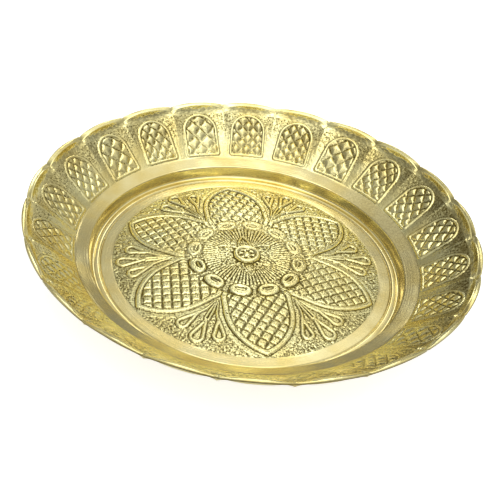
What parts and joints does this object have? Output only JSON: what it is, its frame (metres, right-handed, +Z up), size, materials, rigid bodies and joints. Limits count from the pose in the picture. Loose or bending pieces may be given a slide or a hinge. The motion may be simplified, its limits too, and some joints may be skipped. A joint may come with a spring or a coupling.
{
  "type": "puja thali",
  "caption": "Round shallow brass offering plate with a lobed rim, a flared wall of arches and a crowned floor with a petalled flower in relief.",
  "frame": {"origin": "middle of the flat base, on the plate's axis", "axes": "+Z up along the plate's axis; +X through the middle of one rim lobe and between two petals"},
  "size_m": [0.23, 0.2292, 0.0329],
  "materials": {
    "polished_brass": "polished",
    "turned_brass": "satin, turned",
    "stippled_brass": "matt, finely stippled",
    "relief_brass": "satin, pressed relief"
  },
  "bodies": {
    "root": {"floor_disc": "stippled_brass", "turned_ring": "turned_brass", "well_side": "turned_brass", "shoulder_band": "turned_brass", "flared_wall": "stippled_brass", "lobed_rim": "polished_brass", "centre_boss": "relief_brass", "boss_star": "relief_brass", "fine_rays": "relief_brass", "crescent_beads": "relief_brass", "petal_1": "relief_brass", "petal_2": "relief_brass", "petal_3": "relief_brass", "petal_4": "relief_brass", "petal_5": "relief_brass", "petal_6": "relief_brass", "sprig_1": "relief_brass", "sprig_2": "relief_brass", "sprig_3": "relief_brass", "sprig_4": "relief_brass", "sprig_5": "relief_brass", "sprig_6": "relief_brass", "arch_1": "relief_brass", "arch_2": "relief_brass", "arch_3": "relief_brass", "arch_4": "relief_brass", "arch_5": "relief_brass", "arch_6": "relief_brass", "arch_7": "relief_brass", "arch_8": "relief_brass", "arch_9": "relief_brass", "arch_10": "relief_brass", "arch_11": "relief_brass", "arch_12": "relief_brass", "arch_13": "relief_brass", "arch_14": "relief_brass", "arch_15": "relief_brass", "arch_16": "relief_brass", "arch_17": "relief_brass", "arch_18": "relief_brass", "arch_19": "relief_brass", "arch_20": "relief_brass", "arch_21": "relief_brass", "arch_22": "relief_brass"}
  },
  "joints": []
}
